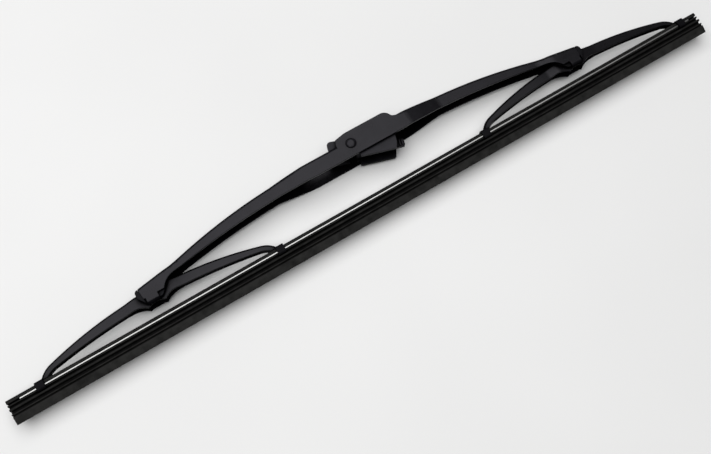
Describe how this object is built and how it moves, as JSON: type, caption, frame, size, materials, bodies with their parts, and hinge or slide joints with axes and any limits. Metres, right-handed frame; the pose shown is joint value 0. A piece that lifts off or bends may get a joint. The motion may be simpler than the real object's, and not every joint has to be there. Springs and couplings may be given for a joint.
{
  "type": "wiper blade",
  "caption": "Windscreen wiper blade: a bowed steel bridge, rocking yokes with claws, a ribbed rubber strip on spring rails and a clip for a hook-ended arm.",
  "frame": {"origin": "on the axis of the adapter's rivet, in the blade's middle plane", "axes": "+X along the blade towards the end with the shorter overhang, +Y from the wiping lip up to the bridge, +Z out of the blade's side along the rivet; the blade lies on its side"},
  "size_m": [0.4, 0.0467, 0.016],
  "materials": {
    "bridge_paint": "satin black paint on pressed steel",
    "rivet_paint": "satin black paint over a steel rivet",
    "adapter_plastic": "moulded black plastic, fine grain",
    "yoke_paint": "satin black paint on pressed steel",
    "bush_plastic": "moulded black plastic, smooth",
    "rubber": "matt black rubber",
    "rail_steel": "bright drawn spring steel"
  },
  "bodies": {
    "bridge": {"main_bridge": "bridge_paint", "pivot_rivet": "rivet_paint", "left_bush": "bush_plastic", "right_bush": "bush_plastic", "wiper_rubber": "rubber", "near_rail": "rail_steel", "far_rail": "rail_steel"},
    "left_yoke": {"left_yoke": "yoke_paint"},
    "right_yoke": {"right_yoke": "yoke_paint"},
    "adapter": {"arm_adapter": "adapter_plastic"}
  },
  "joints": [
    {"name": "left_yoke_pivot", "type": "hinge", "parent": "bridge", "child": "left_yoke", "pos_m": [-0.121, -0.01805, 0], "axis": [0, 0, 1], "range_deg": [-6, 6], "deforming": ["wiper_rubber", "near_rail", "far_rail"]},
    {"name": "right_yoke_pivot", "type": "hinge", "parent": "bridge", "child": "right_yoke", "pos_m": [0.1256, -0.01805, 0], "axis": [0, 0, 1], "range_deg": [-6, 6], "deforming": ["wiper_rubber", "near_rail", "far_rail"]},
    {"name": "adapter_pivot", "type": "hinge", "parent": "bridge", "child": "adapter", "pos_m": [0, 0, 0], "axis": [0, 0, 1], "range_deg": [-12.5, 112.5]}
  ]
}
